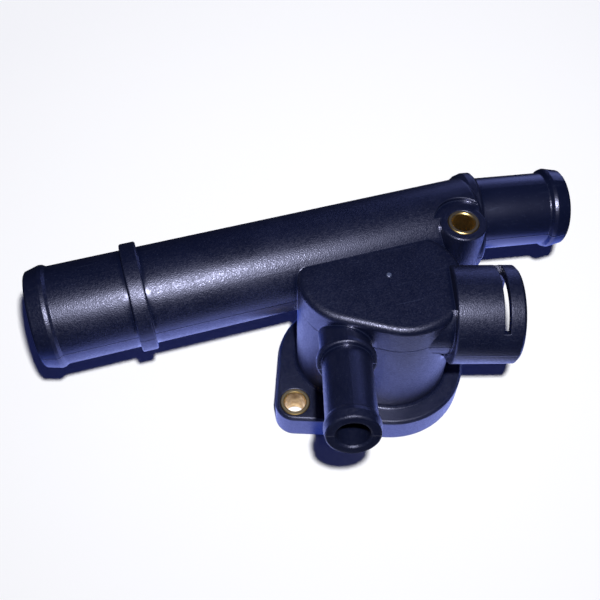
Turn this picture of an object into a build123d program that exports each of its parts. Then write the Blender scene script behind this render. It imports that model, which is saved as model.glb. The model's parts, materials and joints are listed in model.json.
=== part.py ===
"""Coolant connector: a moulded two-bolt engine flange with a long hose pipe, a side tail and a plug socket.

Frame: origin midway between the two screw axes on the flange's sealing face, +Z away from the engine,
+X along the main pipe towards its bent end. Every port lies in one mould parting plane above the flange.
"""
from build123d import *
import os
from math import cos, radians, sin

# Mould parting plane that holds the main pipe, the bent spigot and the socket
port_height = 46.0

# Flange: a plate that follows the chamber and reaches out to two ears
flange_thickness = 10.6
flange_margin = 6.4
flange_edge_bevel = 0.9
screw_spacing = 67.4
screw_line_angle = 19.1
ear_radius = 6.9
pillar_foot_margin = 0.7

# Chamber: an egg in plan, the hull of a small lobe and a large lobe
small_lobe_radius = 17.4
large_lobe_radius = 20.4
small_lobe_center = (-9.1, 2.5)
large_lobe_center = (5.6, -2.8)
roof_above_ports = 11.1
chamber_wall = 3.0
roof_thickness = 3.1
roof_edge_round = 2.3
chamber_root_bevel = 0.8

# Main pipe, its axis behind the flange's centre
pipe_radius = 16.0
pipe_bore_radius = 13.4
pipe_offset = 21.8
pipe_right_end = 40.6
pipe_shoulder_bevel = 1.5

# Left hose spigot: the pipe's own end, behind a square stop ring
left_ring_face = -78.0
left_ring_width = 5.2
left_ring_radius = 17.9
left_ring_bevel = 0.4
left_spigot_length = 30.4
left_bead_radius = 17.0
left_tip_radius = 15.5

# Right hose spigot: smaller, bent forward, running past the screw pillar
right_spigot_root = (41.6, 25.44)
right_spigot_bend = -9.3
right_spigot_radius = 12.5
right_spigot_bore_radius = 10.0
right_bore_inlet = 7.2
right_spigot_length = 33.2
right_bead_radius = 14.0
right_tip_radius = 12.9
right_ring_radius = 14.7
right_ring_width = 4.8
right_ring_slope = 2.8
right_ring_bevel = 1.2

# Beads on the two large spigots
bead_foot_to_tip = 6.9
bead_crest_to_tip = 5.4
bead_crest_bevel = 0.6
tip_edge_bevel = 0.5

# Front hose tail: leaves the flat side of the chamber and rises a little
tail_root = (-16.4, -13.4)
tail_turn = -105.5
tail_rise = 13.4
tail_radius = 7.75
tail_bore_radius = 4.9
tail_mouth_chamfer = 0.5
tail_length = 38.0
tail_neck_radius = 8.3
tail_ring_face = 9.7
tail_ring_width = 1.9
tail_ring_radius = 9.4
tail_bead_radius = 8.55
tail_tip_radius = 7.95
tail_foot_to_tip = 5.2
tail_crest_to_tip = 3.4
tail_edge_bevel = 0.35

# Plug socket with its clip slots, square to the front tail
socket_mouth = (39.0, -18.6)
socket_turn = -15.7
socket_radius = 15.9
socket_bore_radius = 13.1
socket_depth = 17.6
socket_length = 21.1
socket_mouth_bevel = 0.9
socket_mouth_chamfer = 0.9
socket_back_bevel = 0.4
socket_neck_radius = 12.7
socket_neck_bore_radius = 8.4
clip_slot_from_mouth = 4.9
clip_slot_width = 2.0
clip_slot_half_angle = 58.0

# Screw pillar beside the pipe and the spot face cut round its top
pillar_radius = 7.65
pillar_height = 60.5
pillar_edge_bevel = 0.35
spot_face_radius = 9.7

# Brass compression sleeves pressed into the two screw holes
sleeve_outer_radius = 5.2
sleeve_inner_radius = 3.7
sleeve_fit_clearance = 0.02
sleeve_stand_proud = 0.2
sleeve_edge_chamfer = 0.35

# Moulded seal in a groove that follows the chamber wall
groove_offset = -0.4
groove_width = 3.4
groove_depth = 2.8
seal_side_clearance = 0.15
seal_stand_proud = 0.4
seal_edge_bevel = 0.8

# Vestige of the injection gate on the roof
gate_place = (2.0, -0.3)
gate_radius = 0.8
gate_height = 0.35

# Cutting tools run this far past the faces they open
overrun = 1.0

# Places worked out from the sizes above
chamber_height = port_height + roof_above_ports
half_spacing = screw_spacing / 2
ear_screw = (-half_spacing * cos(radians(screw_line_angle)), -half_spacing * sin(radians(screw_line_angle)))
pillar_screw = (-ear_screw[0], -ear_screw[1])


def port_plane(place, height, turn, rise):
    """Plane whose local X runs out along a port's axis from place, with local Y upwards."""
    flat = cos(radians(rise))
    out = Vector(flat * cos(radians(turn)), flat * sin(radians(turn)), sin(radians(rise)))
    level = Vector(sin(radians(turn)), -cos(radians(turn)), 0)
    return Plane(origin=(place[0], place[1], height), x_dir=out, z_dir=level)


left_plane = port_plane((left_ring_face, pipe_offset), port_height, 180, 0)
right_plane = port_plane(right_spigot_root, port_height, right_spigot_bend, 0)
tail_plane = port_plane(tail_root, port_height, tail_turn, tail_rise)
mouth_plane = port_plane(socket_mouth, port_height, socket_turn, 0)
neck_plane = Plane(
    origin=mouth_plane.origin - socket_length * mouth_plane.x_dir,
    x_dir=mouth_plane.z_dir,
    z_dir=-mouth_plane.x_dir,
)
pillar_plane = Plane(origin=(pillar_screw[0], pillar_screw[1], 0), x_dir=(0, 0, 1), z_dir=(0, -1, 0))


def lobe_hull(offset):
    """Draw the chamber's egg outline, moved out by offset, in the sketch at hand."""
    with Locations(small_lobe_center):
        Circle(small_lobe_radius + offset)
    with Locations(large_lobe_center):
        Circle(large_lobe_radius + offset)
    make_hull()


def turned(plane, points, bevels=(), mode=Mode.ADD):
    """Revolve a closed profile about the plane's local X axis.

    points are (distance along the axis, radius) pairs; bevels are (point number, size) pairs.
    """
    with BuildSketch(plane) as profile:
        with BuildLine():
            Polyline(*points, close=True)
        make_face()
        for number, length in bevels:
            corner = profile.vertices().sort_by_distance(Vector(*points[number]))[0]
            chamfer(corner, length)
    revolve(profile.sketch, axis=Axis(plane.origin, plane.x_dir), mode=mode)


def hose_end(plane, length, radius, bead, tip, foot_to_tip, crest_to_tip, edge_bevel):
    """Add a hose spigot from its plane outwards, with one retaining bead and a tapered tip."""
    points = [
        (0, 0),
        (0, radius),
        (length - foot_to_tip, radius),
        (length - crest_to_tip, bead),
        (length, tip),
        (length, 0),
    ]
    turned(plane, points, bevels=[(3, bead_crest_bevel), (4, edge_bevel)])


def ring(plane, start, end, radius, bevels=()):
    """Add a stop ring between two distances along a port's axis."""
    turned(plane, [(start, 0), (start, radius), (end, radius), (end, 0)], bevels)


def bore(plane, start, end, radius):
    """Cut a round passage between two distances along a port's axis."""
    turned(plane, [(start, 0), (start, radius), (end, radius), (end, 0)], mode=Mode.SUBTRACT)


def countersink(plane, mouth, radius, size):
    """Widen a bore's mouth by a 45 degree chamfer of the given size."""
    turned(
        plane,
        [(mouth - size, 0), (mouth - size, radius), (mouth, radius + size), (mouth, 0)],
        mode=Mode.SUBTRACT,
    )


# Housing: flange, chamber, pipe, spigots, tail, socket and pillar are one glass-filled nylon moulding
with BuildPart() as housing:
    # Flange plate
    with BuildSketch() as flange_outline:
        lobe_hull(flange_margin)
        with Locations(ear_screw):
            Circle(ear_radius)
        with Locations(pillar_screw):
            Circle(pillar_radius + pillar_foot_margin)
        make_hull()
    extrude(amount=flange_thickness)

    # Chamber block on the flange
    with BuildSketch(Plane.XY.offset(flange_thickness)) as chamber_outline:
        lobe_hull(0)
    extrude(amount=chamber_height - flange_thickness)
    fillet(housing.faces().sort_by(Axis.Z)[-1].edges(), roof_edge_round)
    land = housing.faces().filter_by(Plane.XY).sort_by_distance((*ear_screw, flange_thickness))[0]
    chamfer(land.inner_wires()[0].edges(), chamber_root_bevel)
    land = housing.faces().filter_by(Plane.XY).sort_by_distance((*ear_screw, flange_thickness))[0]
    chamfer(land.outer_wire().edges(), flange_edge_bevel)

    # Main pipe with its stop ring and left spigot
    pipe_run = pipe_right_end - left_ring_face
    turned(
        left_plane,
        [(-pipe_run, 0), (-pipe_run, pipe_radius), (0, pipe_radius), (0, 0)],
        bevels=[(1, pipe_shoulder_bevel)],
    )
    hose_end(
        left_plane, left_spigot_length, pipe_radius, left_bead_radius, left_tip_radius,
        bead_foot_to_tip, bead_crest_to_tip, tip_edge_bevel,
    )
    left_ring_bevels = [(1, left_ring_bevel), (2, left_ring_bevel)]
    ring(left_plane, -left_ring_width, 0, left_ring_radius, left_ring_bevels)

    # Bent right spigot with its ring, whose back slopes into the end of the pipe
    hose_end(
        right_plane, right_spigot_length, right_spigot_radius, right_bead_radius, right_tip_radius,
        bead_foot_to_tip, bead_crest_to_tip, tip_edge_bevel,
    )
    right_ring_front = right_ring_width / 2
    right_slope_start = -right_ring_front - right_ring_slope
    turned(
        right_plane,
        [
            (right_slope_start, 0),
            (right_slope_start, right_spigot_radius),
            (-right_ring_front, right_ring_radius),
            (right_ring_front, right_ring_radius),
            (right_ring_front, 0),
        ],
        bevels=[(2, right_ring_bevel), (3, right_ring_bevel)],
    )

    # Front tail with its thicker neck and thin stop ring
    hose_end(
        tail_plane, tail_length, tail_radius, tail_bead_radius, tail_tip_radius,
        tail_foot_to_tip, tail_crest_to_tip, tail_edge_bevel,
    )
    ring(tail_plane, -tail_neck_radius, tail_ring_face, tail_neck_radius)
    tail_ring_back = tail_ring_face - tail_ring_width
    tail_ring_bevels = [(1, tail_edge_bevel), (2, tail_edge_bevel)]
    ring(tail_plane, tail_ring_back, tail_ring_face, tail_ring_radius, tail_ring_bevels)

    # Socket body and the narrower neck that joins it to the chamber
    turned(
        mouth_plane,
        [(-socket_length, 0), (-socket_length, socket_radius), (0, socket_radius), (0, 0)],
        bevels=[(1, socket_back_bevel), (2, socket_mouth_bevel)],
    )
    with BuildSketch(neck_plane) as neck_section:
        Circle(socket_neck_radius)
        below_roof = (Align.CENTER, Align.MAX)
        with Locations((0, roof_above_ports)):
            Rectangle(2 * socket_neck_radius, 4 * socket_neck_radius, align=below_roof, mode=Mode.INTERSECT)
    extrude(amount=large_lobe_radius)

    # Chamber cavity, open at the flange face and into the side of the pipe
    with BuildSketch() as cavity_outline:
        lobe_hull(-chamber_wall)
    extrude(amount=chamber_height - roof_thickness, mode=Mode.SUBTRACT)

    # Passages through the pipe, the bent spigot, the tail and the socket
    pipe_bore_end = pipe_right_end - pipe_radius + pipe_bore_radius
    bore(left_plane, -(pipe_bore_end - left_ring_face), left_spigot_length + overrun, pipe_bore_radius)
    bore(right_plane, -right_bore_inlet, right_spigot_length + overrun, right_spigot_bore_radius)
    bore(tail_plane, -tail_neck_radius, tail_length + overrun, tail_bore_radius)
    bore(mouth_plane, -socket_depth, overrun, socket_bore_radius)
    bore(mouth_plane, -socket_length - large_lobe_radius, -socket_depth + overrun, socket_neck_bore_radius)
    countersink(tail_plane, tail_length, tail_bore_radius, tail_mouth_chamfer)
    countersink(mouth_plane, 0, socket_bore_radius, socket_mouth_chamfer)

    # Clip slots through the top and the bottom of the socket wall
    slot_near = -clip_slot_from_mouth
    slot_far = slot_near - clip_slot_width
    socket_axis = Axis(mouth_plane.origin, mouth_plane.x_dir)
    for side in (0, 180):
        turned_level = mouth_plane.z_dir.rotate(socket_axis, side - clip_slot_half_angle)
        with BuildSketch(Plane(mouth_plane.origin, mouth_plane.x_dir, turned_level)) as slot_section:
            with BuildLine():
                Polyline(
                    (slot_far, socket_bore_radius - overrun),
                    (slot_far, socket_radius + overrun),
                    (slot_near, socket_radius + overrun),
                    (slot_near, socket_bore_radius - overrun),
                    close=True,
                )
            make_face()
        revolve(axis=socket_axis, revolution_arc=2 * clip_slot_half_angle, mode=Mode.SUBTRACT)

    # Screw pillar, standing on the rear ear and passing through the side of the pipe
    turned(
        pillar_plane,
        [(0, 0), (0, pillar_radius), (pillar_height, pillar_radius), (pillar_height, 0)],
        bevels=[(2, pillar_edge_bevel)],
    )

    # Spot face that clears the screw head where the pipe is higher than the pillar
    with BuildSketch(Plane.XY.offset(pillar_height)) as spot_face:
        with Locations(pillar_screw):
            Circle(spot_face_radius)
    extrude(amount=pipe_radius, mode=Mode.SUBTRACT)

    # Holes for the two compression sleeves
    with BuildSketch() as sleeve_holes:
        with Locations(ear_screw, pillar_screw):
            Circle(sleeve_outer_radius + sleeve_fit_clearance)
    extrude(amount=pillar_height, mode=Mode.SUBTRACT)

    # Seal groove in the flange face
    with BuildSketch() as groove_section:
        lobe_hull(groove_offset + groove_width)
        with BuildSketch(mode=Mode.SUBTRACT):
            lobe_hull(groove_offset)
    extrude(amount=groove_depth, mode=Mode.SUBTRACT)

    # Gate vestige on the roof
    with BuildSketch(Plane.XY.offset(chamber_height)) as gate_section:
        with Locations(gate_place):
            Circle(gate_radius)
    extrude(amount=gate_height)

# Short sleeve in the front ear
with BuildPart() as ear_sleeve:
    with BuildSketch() as ear_sleeve_section:
        with Locations(ear_screw):
            Circle(sleeve_outer_radius)
            Circle(sleeve_inner_radius, mode=Mode.SUBTRACT)
    extrude(amount=flange_thickness + sleeve_stand_proud)
    chamfer(ear_sleeve.edges().filter_by(GeomType.CIRCLE), sleeve_edge_chamfer)

# Long sleeve through the pillar
with BuildPart() as pillar_sleeve:
    with BuildSketch() as pillar_sleeve_section:
        with Locations(pillar_screw):
            Circle(sleeve_outer_radius)
            Circle(sleeve_inner_radius, mode=Mode.SUBTRACT)
    extrude(amount=pillar_height + sleeve_stand_proud)
    chamfer(pillar_sleeve.edges().filter_by(GeomType.CIRCLE), sleeve_edge_chamfer)

# Seal laid in the groove, standing a little proud of the flange face
with BuildPart() as flange_seal:
    with BuildSketch(Plane.XY.offset(-seal_stand_proud)) as seal_section:
        lobe_hull(groove_offset + groove_width - seal_side_clearance)
        with BuildSketch(mode=Mode.SUBTRACT):
            lobe_hull(groove_offset + seal_side_clearance)
    extrude(amount=groove_depth + seal_stand_proud)
    chamfer(flange_seal.faces().sort_by(Axis.Z)[0].edges(), seal_edge_bevel)

housing.part.label = "housing"
ear_sleeve.part.label = "ear_sleeve"
pillar_sleeve.part.label = "pillar_sleeve"
flange_seal.part.label = "flange_seal"

os.makedirs("parts", exist_ok=True)
export_step(housing.part, "parts/housing.step")
export_step(ear_sleeve.part, "parts/ear_sleeve.step")
export_step(pillar_sleeve.part, "parts/pillar_sleeve.step")
export_step(flange_seal.part, "parts/flange_seal.step")
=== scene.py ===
import json
import bpy
import numpy as np
from mathutils import Matrix, Vector


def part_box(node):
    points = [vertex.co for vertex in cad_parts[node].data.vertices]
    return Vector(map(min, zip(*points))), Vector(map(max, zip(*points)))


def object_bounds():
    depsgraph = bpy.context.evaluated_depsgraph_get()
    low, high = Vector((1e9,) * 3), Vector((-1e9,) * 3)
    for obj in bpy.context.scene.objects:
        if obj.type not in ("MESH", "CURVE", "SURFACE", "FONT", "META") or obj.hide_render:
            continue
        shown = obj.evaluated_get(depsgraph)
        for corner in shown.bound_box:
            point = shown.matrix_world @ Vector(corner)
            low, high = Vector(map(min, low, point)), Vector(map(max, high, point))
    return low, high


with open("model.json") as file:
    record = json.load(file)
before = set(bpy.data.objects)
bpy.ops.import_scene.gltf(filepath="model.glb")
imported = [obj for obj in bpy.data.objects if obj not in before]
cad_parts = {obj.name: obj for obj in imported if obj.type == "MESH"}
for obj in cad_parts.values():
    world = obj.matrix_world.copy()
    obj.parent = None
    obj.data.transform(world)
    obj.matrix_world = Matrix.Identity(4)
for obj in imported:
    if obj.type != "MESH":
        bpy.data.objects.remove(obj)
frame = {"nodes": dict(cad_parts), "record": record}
cad_low, cad_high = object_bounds()

# Camera: above the front left of the part and close to it, as in a hand-held product shot.
# Its lens, place and three angles come from a perspective fit to the photograph.
# Everything in Blender is in metres, so a size in millimetres is written as a number times mm.
mm = 0.001
look_down, roll, turn = np.radians((53.894, 0.8749, -17.2376))
eye = np.array((-69.93, -137.76, 252.21)) * mm
lens, sensor = 47.049, 36.0

level_right = np.array((1.0, 0.0, 0.0))
level_up = np.array((0.0, np.sin(look_down), np.cos(look_down)))
forward = np.array((0.0, np.cos(look_down), -np.sin(look_down)))
right = np.cos(roll) * level_right + np.sin(roll) * level_up
up = np.cos(roll) * level_up - np.sin(roll) * level_right
about_z = np.array(((np.cos(turn), -np.sin(turn), 0), (np.sin(turn), np.cos(turn), 0), (0, 0, 1)))
placing = np.eye(4)
placing[:3, :3] = about_z @ np.column_stack((right, up, -forward))
placing[:3, 3] = eye

camera = bpy.data.objects.new("camera", bpy.data.cameras.new("camera"))
bpy.context.scene.collection.objects.link(camera)
camera.matrix_world = Matrix(placing.tolist())
camera.data.sensor_width = sensor
camera.data.lens = lens
camera.data.clip_start = 10 * mm
bpy.context.scene.camera = camera
bpy.context.scene.view_settings.view_transform = "Standard"


# Housing: one moulding of glass-filled nylon 66 from a spark-eroded tool, held down by screws
# through its flange and its pillar. It looks near black and satin, with a fine grain that shows
# as pale specks in the highlight, and a cool cast from its carbon black.
def linear(hex_colour):
    """Linear RGBA of an sRGB hex colour: a channel up to 0.04045 is divided by 12.92, and a
    larger one has 0.055 added, is divided by 1.055 and is raised to the power 2.4."""
    channels = np.array([int(hex_colour[i:i + 2], 16) for i in (1, 3, 5)]) / 255
    low, high = channels / 12.92, ((channels + 0.055) / 1.055) ** 2.4
    return (*np.where(channels <= 0.04045, low, high), 1.0)


def add_node(tree, kind, settings=(), links=()):
    """One node of a kind: settings fill its properties, or its sockets by name or number, and
    links join its sockets to the outputs of other nodes."""
    node = tree.nodes.new(kind)
    for name, value in dict(settings).items():
        if isinstance(name, str) and hasattr(node, name):
            setattr(node, name, value)
        else:
            node.inputs[name].default_value = value
    for socket, output in dict(links).items():
        tree.links.new(output, node.inputs[socket])
    return node


def new_material(name):
    """An empty material, its node tree and its output node."""
    material = bpy.data.materials.new(name)
    material.use_nodes = True
    tree = material.node_tree
    tree.nodes.clear()
    return material, tree, tree.nodes.new("ShaderNodeOutputMaterial")


nylon, tree, output = new_material("glass_filled_nylon_moulded")
place = add_node(tree, "ShaderNodeTexCoord").outputs["Object"]
part_xyz = add_node(tree, "ShaderNodeSeparateXYZ", {}, {"Vector": place})
# The output of a range that falls from one to nothing
falling = {"To Min": 1.0, "To Max": 0.0}

# Spark-eroded grain: pits of about 0.2 mm on the real part, drawn at 0.4 mm so that they show
pit_pitch, grain_pitch = 0.4 * mm, 0.34 * mm
pits = add_node(tree, "ShaderNodeTexVoronoi", {"Scale": 1 / pit_pitch}, {"Vector": place})
grain = add_node(tree, "ShaderNodeTexNoise",
                 {"Scale": 1 / grain_pitch, "Detail": 1.0, "Roughness": 0.7}, {"Vector": place})

# Flow and handling: patches of 14 mm where the colour and the sheen change a little
patch_size = 14 * mm
patches = add_node(tree, "ShaderNodeTexNoise",
                   {"Scale": 1 / patch_size, "Detail": 4.0, "Roughness": 0.6}, {"Vector": place})

# Glass fibres near the skin: a pale speck in about one cell of 0.9 mm out of three
fibre_cell = 0.9 * mm
speck_core, speck_edge = 0.15, 0.30
none_below, all_above = 0.60, 0.75
fibres = add_node(tree, "ShaderNodeTexVoronoi", {"Scale": 1 / fibre_cell}, {"Vector": place})
fibre_spot = add_node(tree, "ShaderNodeMapRange",
                      {"From Min": speck_core, "From Max": speck_edge, **falling},
                      {"Value": fibres.outputs["Distance"]})
fibre_draw = add_node(tree, "ShaderNodeSeparateColor", {}, {"Color": fibres.outputs["Color"]})
fibre_pick = add_node(tree, "ShaderNodeMapRange",
                      {"From Min": none_below, "From Max": all_above},
                      {"Value": fibre_draw.outputs["Red"]})
fibre = add_node(tree, "ShaderNodeMath", {"operation": "MULTIPLY"},
                 {0: fibre_spot.outputs[0], 1: fibre_pick.outputs[0]})

# Handling scuffs: streaks about 20 mm long and 0.8 mm wide that run along the pipe
streak_length, streak_width = 20 * mm, 0.8 * mm
scuff_start, scuff_full = 0.66, 0.74
per_streak = (1 / streak_length, 1 / streak_width, 1 / streak_width)
stretched = add_node(tree, "ShaderNodeMapping", {"Scale": per_streak}, {"Vector": place})
streaks = add_node(tree, "ShaderNodeTexNoise", {"Scale": 1.0, "Detail": 3.0, "Roughness": 0.5},
                   {"Vector": stretched.outputs[0]})
scuff = add_node(tree, "ShaderNodeMapRange", {"From Min": scuff_start, "From Max": scuff_full},
                 {"Value": streaks.outputs["Fac"]})

# Edges: rounded by 0.7 mm in the tool, then polished and paled by rubbing. The cosine between
# the rounded normal and the true one tells where: the smaller it is, the nearer is the edge
edge_round = 0.7 * mm
round_full, round_start = 0.970, 0.995
wear_full, wear_start = 0.85, 0.97
rounded = add_node(tree, "ShaderNodeBevel", {"samples": 6, "Radius": edge_round})
true_normal = add_node(tree, "ShaderNodeNewGeometry").outputs["Normal"]
turn_cosine = add_node(tree, "ShaderNodeVectorMath", {"operation": "DOT_PRODUCT"},
                       {0: rounded.outputs[0], 1: true_normal})
at_edge = add_node(tree, "ShaderNodeMapRange",
                   {"From Min": round_full, "From Max": round_start, **falling},
                   {"Value": turn_cosine.outputs["Value"]})
soft_edge = add_node(tree, "ShaderNodeMix", {"data_type": "VECTOR"},
                     {"Factor": at_edge.outputs[0], "A": true_normal, "B": rounded.outputs[0]})
worn_edge = add_node(tree, "ShaderNodeMapRange",
                     {"From Min": wear_full, "From Max": wear_start, **falling},
                     {"Value": turn_cosine.outputs["Value"]})

# Corners: within 2 mm of where two forms meet, the tool was cut with a small ball cutter and
# keeps little grain, so the plastic looks black there
corner_reach = 2 * mm
corner_full, corner_start = 0.70, 0.93
openness = add_node(tree, "ShaderNodeAmbientOcclusion",
                    {"samples": 8, "only_local": True, "Distance": corner_reach})
corner = add_node(tree, "ShaderNodeMapRange",
                  {"From Min": corner_full, "From Max": corner_start, **falling},
                  {"Value": openness.outputs["AO"]})

# Flash of the mould's parting line: a ridge that fades out 0.28 mm to each side. It lies in the
# level plane of the ports, but on the sloping tail in the plane through its axis that slopes too.
# The tail is what lies in front of tail_back and to the left of tail_side
flash_reach = 0.28 * mm
tail_back, tail_side = -21.5 * mm, -8 * mm
mounts = {mount["name"]: mount for mount in frame["record"]["mounts"]}
ports_height = mounts["left_spigot"]["pos_m"][2]
tail_axis = np.array(mounts["side_tail"]["axis"])
tail_up = np.array((0.0, 0.0, 1.0)) - tail_axis[2] * tail_axis
tail_up = tail_up / np.linalg.norm(tail_up)
tail_offset = float(tail_up @ mounts["side_tail"]["pos_m"])
above_ports = add_node(tree, "ShaderNodeMath", {"operation": "SUBTRACT", 1: ports_height},
                       {0: part_xyz.outputs["Z"]})
across_tail = add_node(tree, "ShaderNodeVectorMath",
                       {"operation": "DOT_PRODUCT", 1: tail_up.tolist()}, {0: place})
above_tail = add_node(tree, "ShaderNodeMath", {"operation": "SUBTRACT", 1: tail_offset},
                      {0: across_tail.outputs["Value"]})
in_front = add_node(tree, "ShaderNodeMath", {"operation": "LESS_THAN", 1: tail_back},
                    {0: part_xyz.outputs["Y"]})
to_left = add_node(tree, "ShaderNodeMath", {"operation": "LESS_THAN", 1: tail_side},
                   {0: part_xyz.outputs["X"]})
on_tail = add_node(tree, "ShaderNodeMath", {"operation": "MULTIPLY"},
                   {0: in_front.outputs[0], 1: to_left.outputs[0]})
off_plane = add_node(tree, "ShaderNodeMix", {"data_type": "FLOAT"},
                     {"Factor": on_tail.outputs[0], "A": above_ports.outputs[0],
                      "B": above_tail.outputs[0]})
from_line = add_node(tree, "ShaderNodeMath", {"operation": "ABSOLUTE"},
                     {0: off_plane.outputs["Result"]})
flash = add_node(tree, "ShaderNodeMapRange", {"From Min": 0.0, "From Max": flash_reach, **falling},
                 {"Value": from_line.outputs[0]})

# Tool insert: the bent spigot past its ring was formed by smoother steel, so it keeps less grain
# and looks darker. It starts just past the ring's face, and socket_back keeps the socket out
past_face, socket_back = 0.06 * mm, 2 * mm
spigot = mounts["right_spigot"]
ring_face = float(np.dot(spigot["axis"], spigot["pos_m"])) - spigot["dims"]["length_mm"] / 2 * mm
along_spigot = add_node(tree, "ShaderNodeVectorMath",
                        {"operation": "DOT_PRODUCT", 1: spigot["axis"]}, {0: place})
past_ring = add_node(tree, "ShaderNodeMath",
                     {"operation": "GREATER_THAN", 1: ring_face + past_face},
                     {0: along_spigot.outputs["Value"]})
behind = add_node(tree, "ShaderNodeMath", {"operation": "GREATER_THAN", 1: socket_back},
                  {0: part_xyz.outputs["Y"]})
on_insert = add_node(tree, "ShaderNodeMath", {"operation": "MULTIPLY"},
                     {0: past_ring.outputs[0], 1: behind.outputs[0]})

# Gate vestige: the torn stub on the roof, 2 mm across, is pale from stress
gate_place = (2.0 * mm, -0.3 * mm, 57.3 * mm)
gate_full, gate_end = 0.7 * mm, 1.0 * mm
from_gate = add_node(tree, "ShaderNodeVectorMath", {"operation": "DISTANCE", 1: gate_place},
                     {0: place})
gate = add_node(tree, "ShaderNodeMapRange",
                {"From Min": gate_full, "From Max": gate_end, **falling},
                {"Value": from_gate.outputs["Value"]})

# Colour: navy black in patches, greyer where it is scuffed, worn or shows a fibre, and palest
# at the gate
wear_share = 0.55
dark = add_node(tree, "ShaderNodeMix",
                {"data_type": "RGBA", "A": linear("#090e22"), "B": linear("#0f1530")},
                {"Factor": patches.outputs["Fac"]})
worn = add_node(tree, "ShaderNodeMath", {"operation": "MAXIMUM"},
                {0: scuff.outputs[0], 1: worn_edge.outputs[0]})
worn = add_node(tree, "ShaderNodeMath", {"operation": "MAXIMUM"},
                {0: worn.outputs[0], 1: fibre.outputs[0]})
pale = add_node(tree, "ShaderNodeMapRange", {"To Max": wear_share}, {"Value": worn.outputs[0]})
skin = add_node(tree, "ShaderNodeMix", {"data_type": "RGBA", "B": linear("#2a3048")},
                {"Factor": pale.outputs[0], "A": dark.outputs["Result"]})
skin = add_node(tree, "ShaderNodeMix", {"data_type": "RGBA", "B": linear("#4c5470")},
                {"Factor": gate.outputs[0], "A": skin.outputs["Result"]})

# Sheen: the roughness follows the patches, and each pit of the grain is a little shinier or
# duller than the next. The insert and the corners are smoother
shiny_patch, dull_patch = 0.34, 0.42
shinier_pit, duller_pit = -0.07, 0.11
insert_share, corner_rough = 0.76, 0.24
satin = add_node(tree, "ShaderNodeMapRange",
                 {"From Min": 0.3, "From Max": 0.7, "To Min": shiny_patch, "To Max": dull_patch},
                 {"Value": patches.outputs["Fac"]})
pit_draw = add_node(tree, "ShaderNodeSeparateColor", {}, {"Color": pits.outputs["Color"]})
pit_tone = add_node(tree, "ShaderNodeMapRange", {"To Min": shinier_pit, "To Max": duller_pit},
                    {"Value": pit_draw.outputs["Red"]})
speckled = add_node(tree, "ShaderNodeMath", {"operation": "ADD"},
                    {0: satin.outputs[0], 1: pit_tone.outputs[0]})
smoother = add_node(tree, "ShaderNodeMath", {"operation": "MULTIPLY", 1: insert_share},
                    {0: satin.outputs[0]})
sheen = add_node(tree, "ShaderNodeMix", {"data_type": "FLOAT"},
                 {"Factor": on_insert.outputs[0], "A": speckled.outputs[0],
                  "B": smoother.outputs[0]})
sheen = add_node(tree, "ShaderNodeMix", {"data_type": "FLOAT", "B": corner_rough},
                 {"Factor": corner.outputs[0], "A": sheen.outputs["Result"]})

# Relief: the grain is strongest in the open, weak in the corners and on the insert, and the
# flash stands on top of it
pit_share = 0.8
grain_depth, flash_depth = 0.10 * mm, 0.15 * mm
open_strength, corner_strength, insert_strength = 0.40, 0.05, 0.20
height = add_node(tree, "ShaderNodeMath", {"operation": "MULTIPLY_ADD", 1: pit_share},
                  {0: pits.outputs["Distance"], 2: grain.outputs["Fac"]})
strength = add_node(tree, "ShaderNodeMapRange",
                    {"To Min": open_strength, "To Max": corner_strength},
                    {"Value": corner.outputs[0]})
strength = add_node(tree, "ShaderNodeMix", {"data_type": "FLOAT", "B": insert_strength},
                    {"Factor": on_insert.outputs[0], "A": strength.outputs[0]})
rough = add_node(tree, "ShaderNodeBump", {"Distance": grain_depth},
                 {"Strength": strength.outputs["Result"], "Height": height.outputs[0],
                  "Normal": soft_edge.outputs["Result"]})
ridge = add_node(tree, "ShaderNodeBump", {"Strength": 1.0, "Distance": flash_depth},
                 {"Height": flash.outputs[0], "Normal": rough.outputs[0]})

# Nylon has an index of 1.53. Its reflection is matched to the photograph, at twice the usual
# strength and blue-violet
plastic = add_node(tree, "ShaderNodeBsdfPrincipled",
                   {"IOR": 1.53, "Specular IOR Level": 1.0, "Specular Tint": (0.68, 0.70, 1.0, 1.0)},
                   {"Base Color": skin.outputs["Result"], "Roughness": sheen.outputs["Result"],
                    "Normal": ridge.outputs[0]})
tree.links.new(plastic.outputs[0], output.inputs["Surface"])


def dress(node_name, material):
    """Makes a material the only one of a CAD node."""
    slots = frame["nodes"][node_name].data.materials
    slots.clear()
    slots.append(material)


dress("housing", nylon)


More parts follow.
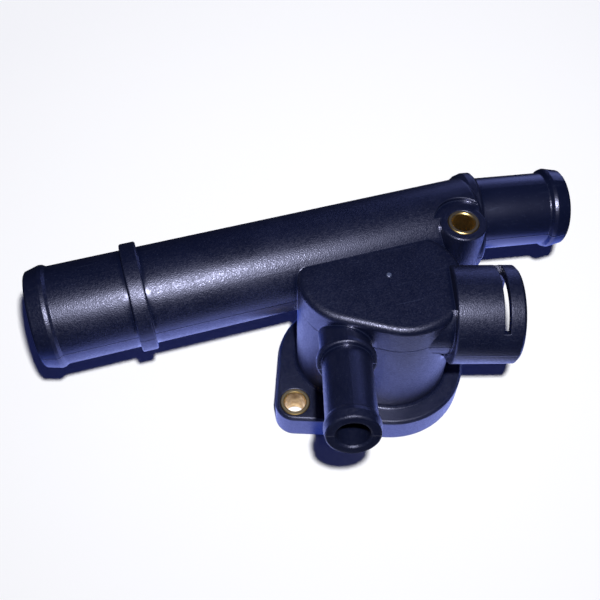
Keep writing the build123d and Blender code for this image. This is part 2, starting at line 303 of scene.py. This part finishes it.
# Compression sleeves: free-cutting brass, turned, and pressed into the two screw holes a little
# proud on top. Turning marks ring the faces and the bores, and the end faces are rougher and carry
# a painted shade: a greyer, darker bronze.
def turned_brass(name, axis_x, axis_y):
    """Brass whose turning marks are waves of the distance from the axis (x, y) plus waves of
    the height."""
    brass, tree, output = new_material(name)
    place = add_node(tree, "ShaderNodeTexCoord").outputs["Object"]
    centred = add_node(tree, "ShaderNodeMapping", {"Location": (-axis_x, -axis_y, 0.0)},
                       {"Vector": place})

    # Feed of about 0.1 mm a turn, drawn at 0.4 mm so that it shows. A wave texture repeats
    # 20 times in 2 pi of its scaled distance
    mark_pitch, mark_depth = 0.4 * mm, 0.04 * mm
    per_mark = 2 * np.pi / (20 * mark_pitch)
    rings = add_node(tree, "ShaderNodeTexWave",
                     {"wave_type": "RINGS", "rings_direction": "Z", "Scale": per_mark,
                      "Distortion": 0.6, "Detail": 1.0},
                     {"Vector": centred.outputs[0]})
    bands = add_node(tree, "ShaderNodeTexWave",
                     {"wave_type": "BANDS", "bands_direction": "Z", "Scale": per_mark,
                      "Distortion": 0.4, "Detail": 1.0},
                     {"Vector": centred.outputs[0]})
    marks = add_node(tree, "ShaderNodeMath", {"operation": "ADD"},
                     {0: rings.outputs["Fac"], 1: bands.outputs["Fac"]})
    bump = add_node(tree, "ShaderNodeBump", {"Strength": 0.35, "Distance": mark_depth},
                    {"Height": marks.outputs[0]})

    # Tarnish in patches of 2 mm, browner and duller
    tarnish_size = 2 * mm
    bright_rough, tarnished_rough = 0.30, 0.42
    tarnish = add_node(tree, "ShaderNodeTexNoise", {"Scale": 1 / tarnish_size, "Detail": 4.0},
                       {"Vector": place})
    dulled = add_node(tree, "ShaderNodeMapRange", {"From Min": 0.35, "From Max": 0.70},
                      {"Value": tarnish.outputs["Fac"]})
    gold = add_node(tree, "ShaderNodeMix",
                    {"data_type": "RGBA", "A": linear("#e8cc8c"), "B": linear("#bc9a5e")},
                    {"Factor": dulled.outputs[0]})
    gold_rough = add_node(tree, "ShaderNodeMapRange",
                          {"To Min": bright_rough, "To Max": tarnished_rough},
                          {"Value": dulled.outputs[0]})

    # The end faces look up or down. They are rougher and carry a painted shade, a greyer and darker
    # bronze, and the bores keep their gold
    bronze_rough = 0.50
    level_start, level_full = 0.80, 0.95
    normal = add_node(tree, "ShaderNodeNewGeometry").outputs["Normal"]
    normal = add_node(tree, "ShaderNodeSeparateXYZ", {}, {"Vector": normal})
    upright = add_node(tree, "ShaderNodeMath", {"operation": "ABSOLUTE"},
                       {0: normal.outputs["Z"]})
    face = add_node(tree, "ShaderNodeMapRange", {"From Min": level_start, "From Max": level_full},
                    {"Value": upright.outputs[0]})
    # Painted shade: the end faces take the greyer, darker bronze
    colour = add_node(tree, "ShaderNodeMix", {"data_type": "RGBA", "B": linear("#9c8e74")},
                      {"Factor": face.outputs[0], "A": gold.outputs["Result"]})
    sheen = add_node(tree, "ShaderNodeMix", {"data_type": "FLOAT", "B": bronze_rough},
                     {"Factor": face.outputs[0], "A": gold_rough.outputs[0]})
    metal = add_node(tree, "ShaderNodeBsdfPrincipled", {"Metallic": 1.0},
                     {"Base Color": colour.outputs["Result"],
                      "Roughness": sheen.outputs["Result"], "Normal": bump.outputs[0]})
    tree.links.new(metal.outputs[0], output.inputs["Surface"])
    return brass


sleeves = ("ear_sleeve", "pillar_sleeve")
for name in sleeves:
    sleeve_low, sleeve_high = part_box(name)
    axis_x, axis_y = ((sleeve_low[i] + sleeve_high[i]) / 2 for i in (0, 1))
    dress(name, turned_brass("brass_turned_" + name, axis_x, axis_y))


# Flange seal: a ring of EPDM rubber, compression moulded, that lies in the groove of the flange
# face and is seen only from below. It is matt, with a bloom of pale dust in patches of 3 mm.
rubber, tree, output = new_material("epdm_rubber_moulded")
place = add_node(tree, "ShaderNodeTexCoord").outputs["Object"]
bloom_size, skin_pitch, skin_depth = 3 * mm, 0.4 * mm, 0.06 * mm
clean_rough, bloom_rough = 0.55, 0.80
bloom = add_node(tree, "ShaderNodeTexNoise",
                 {"Scale": 1 / bloom_size, "Detail": 5.0, "Roughness": 0.65}, {"Vector": place})
fine = add_node(tree, "ShaderNodeTexNoise", {"Scale": 1 / skin_pitch, "Detail": 2.0},
                {"Vector": place})
black = add_node(tree, "ShaderNodeMix",
                 {"data_type": "RGBA", "A": linear("#0f0f11"), "B": linear("#26262a")},
                 {"Factor": bloom.outputs["Fac"]})
dull = add_node(tree, "ShaderNodeMapRange", {"To Min": clean_rough, "To Max": bloom_rough},
                {"Value": bloom.outputs["Fac"]})
bump = add_node(tree, "ShaderNodeBump", {"Strength": 0.3, "Distance": skin_depth},
                {"Height": fine.outputs["Fac"]})
soft = add_node(tree, "ShaderNodeBsdfPrincipled", {"IOR": 1.52},
                {"Base Color": black.outputs["Result"], "Roughness": dull.outputs[0],
                 "Normal": bump.outputs[0]})
tree.links.new(soft.outputs[0], output.inputs["Surface"])
dress("flange_seal", rubber)


# Floor: a plain pale table under the seal, for the scene only. The camera and reflections see it
# white where it is lit, it keeps the part's shadow, and to all other light it shows a painted pool
# of light: pale near the part and dim beyond.
lamp_place = np.array((-50.7, -136.8, 305.0)) * mm
floor_height = float(cad_low[2])
half_side = 3.0
corners = np.array(((-1, -1), (1, -1), (1, 1), (-1, 1))) * half_side
floor_mesh = bpy.data.meshes.new("floor")
floor_mesh.from_pydata([(x, y, floor_height) for x, y in corners.tolist()], [], [(0, 1, 2, 3)])
floor = bpy.data.objects.new("floor", floor_mesh)
bpy.context.scene.collection.objects.link(floor)
table_top, tree, output = new_material("floor_pale")
rays = add_node(tree, "ShaderNodeLightPath")
spot = add_node(tree, "ShaderNodeNewGeometry").outputs["Position"]

# Near is an oval whose middle is 20 mm left of the origin, the extent of the painted pool of light.
# It fades out from 40 to 90 mm away across the pipe and from 57 to 129 mm along it. Reflections see
# the lit sheet there alone, and the dim painted floor beyond
oval_squeeze, oval_shift = (0.70, 1.0, 0.0), (14 * mm, 0.0, 0.0)
near_full, near_end = 40 * mm, 90 * mm
around = add_node(tree, "ShaderNodeVectorMath",
                  {"operation": "MULTIPLY_ADD", 1: oval_squeeze, 2: oval_shift}, {0: spot})
around = add_node(tree, "ShaderNodeVectorMath", {"operation": "LENGTH"}, {0: around.outputs[0]})
near = add_node(tree, "ShaderNodeMapRange",
                {"interpolation_type": "SMOOTHSTEP", "From Min": near_full, "From Max": near_end,
                 **falling},
                {"Value": around.outputs["Value"]})
mirrored = add_node(tree, "ShaderNodeMath", {"operation": "MULTIPLY"},
                    {0: rays.outputs["Is Glossy Ray"], 1: near.outputs[0]})
seen = add_node(tree, "ShaderNodeMath", {"operation": "MAXIMUM"},
                {0: rays.outputs["Is Camera Ray"], 1: mirrored.outputs[0]})
seen = add_node(tree, "ShaderNodeMath", {"operation": "MAXIMUM"},
                {0: seen.outputs[0], 1: rays.outputs["Is Transmission Ray"]})

# Gain that evens out the lamp's slant over the table: one over the cosine of its light's slope
lamp_height = float(lamp_place[2] - floor_height)
to_lamp = add_node(tree, "ShaderNodeVectorMath",
                   {"operation": "SUBTRACT", 0: lamp_place.tolist()}, {1: spot})
way = add_node(tree, "ShaderNodeVectorMath", {"operation": "LENGTH"}, {0: to_lamp.outputs[0]})
gain = add_node(tree, "ShaderNodeMath", {"operation": "DIVIDE", 1: lamp_height},
                {0: way.outputs["Value"]})

# What is seen: white to the camera, bluer in reflections, and a faint blue glow in the shadow
glow_strength = 0.022
sheet_tone = add_node(tree, "ShaderNodeMix",
                      {"data_type": "RGBA", "A": linear("#efefef"), "B": linear("#d6dcff")},
                      {"Factor": rays.outputs["Is Glossy Ray"]})
white = add_node(tree, "ShaderNodeVectorMath", {"operation": "SCALE"},
                 {0: sheet_tone.outputs["Result"], "Scale": gain.outputs[0]})
bright = add_node(tree, "ShaderNodeBsdfDiffuse", {}, {"Color": white.outputs[0]})
glow = add_node(tree, "ShaderNodeEmission",
                {"Color": linear("#5468ff"), "Strength": glow_strength})
shown = add_node(tree, "ShaderNodeAddShader", {}, {0: bright.outputs[0], 1: glow.outputs[0]})

# What lights the part from below: a painted pool of light, pale near it and dim beyond, in place
# of the fall of the lamp's light with distance
painted_pool_tone = add_node(tree, "ShaderNodeMix",
                      {"data_type": "RGBA", "A": linear("#202438"), "B": linear("#e4e6f6")},
                      {"Factor": near.outputs[0]})
plain = add_node(tree, "ShaderNodeBsdfDiffuse", {}, {"Color": painted_pool_tone.outputs["Result"]})
mixed = add_node(tree, "ShaderNodeMixShader", {},
                 {0: seen.outputs[0], 1: plain.outputs[0], 2: shown.outputs[0]})

# Far from the lamp, from 0.25 to 0.45 m away, the camera's view of the table turns to the room's
# white
far_start, far_full = 0.25, 0.45
from_part = add_node(tree, "ShaderNodeVectorMath", {"operation": "LENGTH"}, {0: spot})
beyond = add_node(tree, "ShaderNodeMapRange",
                  {"interpolation_type": "SMOOTHSTEP", "From Min": far_start,
                   "From Max": far_full},
                  {"Value": from_part.outputs["Value"]})
beyond = add_node(tree, "ShaderNodeMath", {"operation": "MULTIPLY"},
                  {0: rays.outputs["Is Camera Ray"], 1: beyond.outputs[0]})
backdrop = add_node(tree, "ShaderNodeEmission", {"Color": linear("#fcfdff"), "Strength": 1.0})
mixed = add_node(tree, "ShaderNodeMixShader", {},
                 {0: beyond.outputs[0], 1: mixed.outputs[0], 2: backdrop.outputs[0]})
tree.links.new(mixed.outputs[0], output.inputs["Surface"])
floor_mesh.materials.append(table_top)


# Lights: a small lamp beside the lens, so the shadow hides close below the part, a bluish bounce
# from the table and a weak fill from behind. The camera doesn't see the last two.
def area_light(name, placing, shape, size, energy, colour):
    """An area light that shines along its own -Z axis, put in place by the matrix placing."""
    light = bpy.data.objects.new(name, bpy.data.lights.new(name, "AREA"))
    light.data.shape = shape
    light.data.size = size
    light.data.energy = energy
    light.data.color = linear(colour)[:3]
    light.matrix_world = placing
    bpy.context.scene.collection.objects.link(light)
    return light


def aimed(place, target):
    """The matrix that puts a light at place and turns its -Z axis along target minus place."""
    direction = Vector((target - place).tolist())
    turned = direction.to_track_quat("-Z", "Y").to_matrix().to_4x4()
    return Matrix.Translation(place.tolist()) @ turned


def leave_out(light, group_name, objects):
    """Light linking that keeps a light off the given objects."""
    group = bpy.data.collections.new(group_name)
    for thing in objects:
        group.objects.link(thing)
    for member in group.collection_objects:
        member.light_linking.link_state = "EXCLUDE"
    light.light_linking.receiver_collection = group


# The lamp's light doesn't fall off with distance, so that it is even over the table
lamp_target = np.array((0.0, 0.0, 30.0)) * mm
lamp = area_light("lamp", aimed(lamp_place, lamp_target), "DISK",
                  size=12 * mm, energy=11.6, colour="#ffffff")
lamp.data.use_nodes = True
lamp_tree = lamp.data.node_tree
falloff = add_node(lamp_tree, "ShaderNodeLightFalloff", {"Strength": 1.0})
lamp_tree.links.new(falloff.outputs["Constant"], lamp_tree.nodes["Emission"].inputs["Strength"])

# The bounce lies just above the table and shines up. It would show in the brass, so it is kept
# off the sleeves
clearance = 0.4 * mm
facing_up = Matrix.Rotation(np.pi, 4, "X")
on_table = Matrix.Translation((-20 * mm, 0.0, floor_height + clearance))
bounce = area_light("bounce", on_table @ facing_up, "RECTANGLE",
                    size=240 * mm, energy=0.09, colour="#5f7cff")
bounce.data.size_y = 90 * mm
bounce.visible_camera = False
leave_out(bounce, "unlit_by_bounce", [frame["nodes"][name] for name in sleeves])

# The fill is large and weak, behind and to the right, and is kept off the table
fill_place = np.array((450.0, 550.0, 170.0)) * mm
fill = area_light("fill", aimed(fill_place, np.zeros(3)), "DISK",
                  size=400 * mm, energy=0.55, colour="#a6b2ff")
fill.visible_camera = False
leave_out(fill, "unlit_by_fill", [floor])

# The room is white to the camera, and a weak blue-violet light to the part
world = bpy.data.worlds.new("room")
world.use_nodes = True
bpy.context.scene.world = world
tree = world.node_tree
tree.nodes.clear()
rays = add_node(tree, "ShaderNodeLightPath")
dim = add_node(tree, "ShaderNodeBackground", {"Color": linear("#7f8fff"), "Strength": 0.03})
clear = add_node(tree, "ShaderNodeBackground", {"Color": linear("#fcfdff"), "Strength": 1.0})
room = add_node(tree, "ShaderNodeMixShader", {},
                {0: rays.outputs["Is Camera Ray"], 1: dim.outputs[0], 2: clear.outputs[0]})
add_node(tree, "ShaderNodeOutputWorld", {}, {"Surface": room.outputs[0]})
